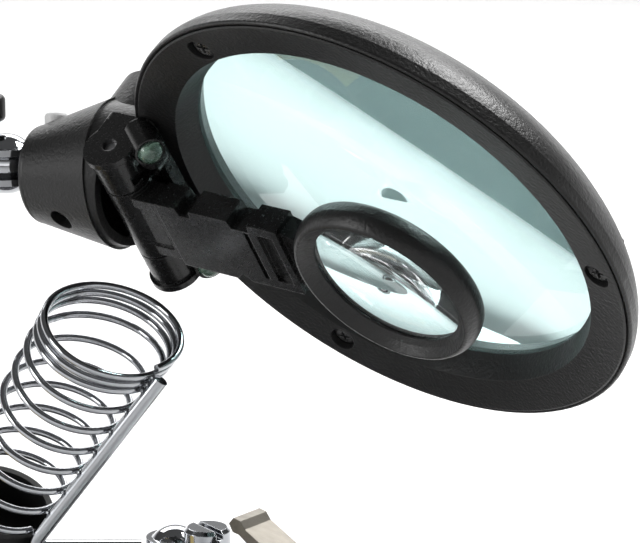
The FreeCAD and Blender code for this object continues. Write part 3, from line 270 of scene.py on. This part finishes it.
MATERIALS = {
    "painted_iron": enamel("base_enamel", dark=(0.020, 0.020, 0.022), light=(0.042, 0.042, 0.046)),
    "rubber": rubber(),
    "steel": brushed("zinc_steel", (0.62, 0.62, 0.64), rough=0.24),
    "dark_screw": moulded_plastic("black_oxide", dark=0.012, light=0.03, rough=0.28, grain=2600.0,
                                  grain_depth=0.006 * MM, edge=0.12, gloss=0.6),
    "tray_tin": enamel("tray_enamel", dark=(0.018, 0.018, 0.020), light=(0.040, 0.040, 0.043)),
    "chrome": plated("chrome", (0.42, 0.43, 0.45), rough=0.06, wave=0.03 * MM),
    "knob_plastic": moulded_plastic("knob_plastic", dark=0.006, light=0.012, rough=0.34, grain=2000.0,
                                    grain_depth=0.010 * MM, edge=0.03),
    "black_plastic": moulded_plastic("grained_plastic", dark=0.006, light=0.012, rough=0.36, grain=1500.0,
                                     grain_depth=0.13 * MM, edge=0.035),
    "arm_plastic": moulded_plastic("arm_plastic", dark=0.003, light=0.006, rough=0.25, grain=1500.0,
                                   grain_depth=0.002 * MM, edge=0.02, gloss=0.32),
    "grey_plastic": moulded_plastic("grey_plastic", dark=0.50, light=0.60, rough=0.42, grain=1800.0,
                                    grain_depth=0.015 * MM, edge=0.70),
    "lens_glass": glass("lens_glass", (0.76, 0.97, 0.96), haze=0.11),
    "loupe_glass": glass("loupe_glass", (0.94, 0.96, 0.96), haze=0.02),
    "lamp": lamp_epoxy(),
    "brass": plated("brass", (0.78, 0.58, 0.26), rough=0.12, wave=0.02 * MM),
    "nickel": brushed("nickel", (0.20, 0.185, 0.16), rough=0.34),
    "sponge": sponge_foam(),
}


def dress(node, material):
    mesh = NODES[node].data
    mesh.materials.clear()
    mesh.materials.append(material)


for part in frame["record"]["subparts"]:
    dress(part["node"], MATERIALS[part["material_slot"]])


def made_object(name, mesh):
    """A linked object from a finished bmesh, which is freed."""
    data = bpy.data.meshes.new(name)
    mesh.to_mesh(data)
    mesh.free()
    made = bpy.data.objects.new(name, data)
    bpy.context.scene.collection.objects.link(made)
    return made


def finish_piece(piece, slot, body):
    """Smooth a new piece, give it its slot's material and let it ride on its body."""
    for face in piece.data.polygons:
        face.use_smooth = True
    piece.data.materials.append(MATERIALS[slot])
    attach(piece, body)


# ---------------------------------------------------------------- sponge

SPONGE_CUTS = 70
SPONGE_CORNER = 2.2 * MM
SPONGE_CROWN = 0.9              # mm, how much lower the top is at its edges than in its middle
DEEPEST_PORE = 0.9 * MM
BIG_PORES = (420.0, 0.42, 1.7)      # cells per metre, reach within a cell, depth in mm per unit of reach
SMALL_PORES = (900.0, 0.3, 0.7)


def pore_depth(place, kind):
    scale, reach, slope = kind
    return max(0.0, reach - noise.voronoi(place * scale)[0][0]) * slope * MM


def make_sponge():
    """Cellulose sponge: a crowned slab with pressed-in pores."""
    low, high = (Vector(v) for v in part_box("cleaning_sponge"))
    middle, half = (low + high) / 2, (high - low) / 2
    mesh = bmesh.new()
    bmesh.ops.create_cube(mesh, size=2.0)
    bmesh.ops.subdivide_edges(mesh, edges=mesh.edges[:], cuts=SPONGE_CUTS, use_grid_fill=True)
    for vert in mesh.verts:
        unit = vert.co.copy()
        place = Vector(u * h for u, h in zip(unit, half))
        inner = Vector(max(-h + SPONGE_CORNER, min(h - SPONGE_CORNER, p)) for p, h in zip(place, half))
        out = place - inner
        if out.length > 0:
            out = out.normalized()
            place = inner + out * SPONGE_CORNER
        crown = (1 - unit.x ** 4) * (1 - unit.y ** 4)
        if unit.z > 0:
            place.z -= (1 - crown) * SPONGE_CROWN * MM * unit.z
        world = place + middle
        depth = pore_depth(world, BIG_PORES) + pore_depth(world, SMALL_PORES)
        inward = -out if out.length > 0 else Vector((0, 0, -unit.z))
        vert.co = world + inward * min(depth, DEEPEST_PORE)
    slab = made_object("sponge_slab", mesh)
    finish_piece(slab, "sponge", "sponge")
    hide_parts("cleaning_sponge")


make_sponge()


# ---------------------------------------------------------------- welds on the coil's rod

# the coil as in the CAD, in millimetres
COIL_MOUTH = Vector((47.6, -31.3, 107.3))
COIL_OUT = Vector((0.286, -0.385, 0.877)).normalized()
COIL_LEAN = Vector((0.533, -0.122, 0.836)).normalized()
COIL_LENGTH, MOUTH_RADIUS, END_RADIUS = 44.0, 13.65, 10.0
ROD_ANGLE = math.radians(-88.0)
CLOSED_LEVELS = (1.75, 3.5, 5.25)
OPEN_TURNS = 7
WELD_RADIUS, WELD_OFFSET = 0.80, 0.95       # the offset is from the coil's wire out towards the rod
WELD_UNEVENNESS, WELD_LUMPS, WELD_FLATNESS = 0.16, 1.4, 0.15


def make_welds():
    """Small uneven weld beads where each turn of the coil meets the rod."""
    across = (COIL_LEAN - COIL_OUT * COIL_LEAN.dot(COIL_OUT)).normalized()
    side = across * math.cos(ROD_ANGLE) + COIL_OUT.cross(across) * math.sin(ROD_ANGLE)
    step = (COIL_LENGTH - CLOSED_LEVELS[-1]) / OPEN_TURNS
    levels = list(CLOSED_LEVELS) + [CLOSED_LEVELS[-1] + step * turn for turn in range(1, OPEN_TURNS)]
    mesh = bmesh.new()
    for level in levels:
        radius = MOUTH_RADIUS + (END_RADIUS - MOUTH_RADIUS) * level / COIL_LENGTH
        centre = COIL_MOUTH - COIL_LEAN * level + side * (radius + WELD_OFFSET)
        ball = bmesh.ops.create_icosphere(mesh, subdivisions=3, radius=WELD_RADIUS)
        for vert in ball["verts"]:
            bulge = 1.0 + WELD_UNEVENNESS * noise.noise(vert.co * WELD_LUMPS + Vector((level, 0, 0)))
            flat = vert.co - COIL_LEAN * vert.co.dot(COIL_LEAN) * WELD_FLATNESS
            vert.co = (centre + flat * bulge) * MM
    finish_piece(made_object("rod_welds", mesh), "chrome", "iron_stand")


make_welds()


# ---------------------------------------------------------------- floor, light and camera

FLOOR_HALF_SIZE = 6.0
WORLD_STOPS = ((0.0, 1.2), (0.5, 3.2), (0.57, 1.8), (0.68, 0.12), (1.0, 0.18))     # from below to above
WORLD_STRENGTH = 0.75
SOFTBOXES = (       # name, place, target, width, height, watts
    ("key_softbox", (0.50, 0.25, 0.75), (0.05, 0.0, 0.1), 0.30, 0.30, 7.0),
    ("left_softbox", (-0.75, -0.35, 0.45), (0.0, 0.0, 0.08), 0.35, 0.5, 4.0),
    ("back_softbox", (0.0, 1.1, 0.9), (0.05, 0.4, 0.0), 1.4, 0.6, 13.0),
)
CAMERA_PLACE, CAMERA_LOOK = (0.088, -0.605, 0.2454), Vector((0.0, 0.9763, -0.2164))
SENSOR_WIDTH, FOCAL_LENGTH = 36.0, 168.75


def make_floor():
    mesh = bmesh.new()
    bmesh.ops.create_grid(mesh, x_segments=1, y_segments=1, size=FLOOR_HALF_SIZE)
    floor = made_object("floor", mesh)
    made = Shader("floor_paper", Roughness=0.85, Specular_IOR_Level=0.1)
    made.colour(made.mix(made.noise(3.0, 3.0), (0.93, 0.93, 0.93), (0.96, 0.96, 0.96)))
    floor.data.materials.append(made.material)


def softbox(name, place, target, width, height, watts):
    light = bpy.data.lights.new(name, "AREA")
    light.shape = "RECTANGLE"
    light.size, light.size_y = width, height
    light.energy = watts
    lamp = bpy.data.objects.new(name, light)
    lamp.location = place
    lamp.rotation_euler = (Vector(target) - Vector(place)).to_track_quat("-Z", "Y").to_euler()
    bpy.context.scene.collection.objects.link(lamp)


def make_world():
    """Studio surroundings: brightest at the horizon, dark above and fairly bright below."""
    world = bpy.data.worlds.new("studio")
    bpy.context.scene.world = world
    world.use_nodes = True
    tree = world.node_tree
    coords = tree.nodes.new("ShaderNodeTexCoord")
    split = tree.nodes.new("ShaderNodeSeparateXYZ")
    ramp = tree.nodes.new("ShaderNodeValToRGB")
    tree.links.new(coords.outputs["Generated"], split.inputs[0])
    half_up = tree.nodes.new("ShaderNodeMath")
    half_up.operation = "MULTIPLY_ADD"
    half_up.inputs[1].default_value = 0.5
    half_up.inputs[2].default_value = 0.5
    tree.links.new(split.outputs["Z"], half_up.inputs[0])
    tree.links.new(half_up.outputs[0], ramp.inputs["Fac"])
    fill_ramp(ramp.color_ramp.elements, WORLD_STOPS)
    tree.links.new(ramp.outputs["Color"], tree.nodes["Background"].inputs["Color"])
    tree.nodes["Background"].inputs["Strength"].default_value = WORLD_STRENGTH


def make_camera():
    data = bpy.data.cameras.new("camera")
    data.sensor_fit = "HORIZONTAL"
    data.sensor_width = SENSOR_WIDTH
    data.lens = FOCAL_LENGTH
    camera = bpy.data.objects.new("camera", data)
    camera.location = CAMERA_PLACE
    camera.rotation_euler = CAMERA_LOOK.to_track_quat("-Z", "Y").to_euler()
    bpy.context.scene.collection.objects.link(camera)
    bpy.context.scene.camera = camera


make_floor()
make_world()
for box in SOFTBOXES:
    softbox(*box)
make_camera()
bpy.context.scene.view_settings.view_transform = "Standard"
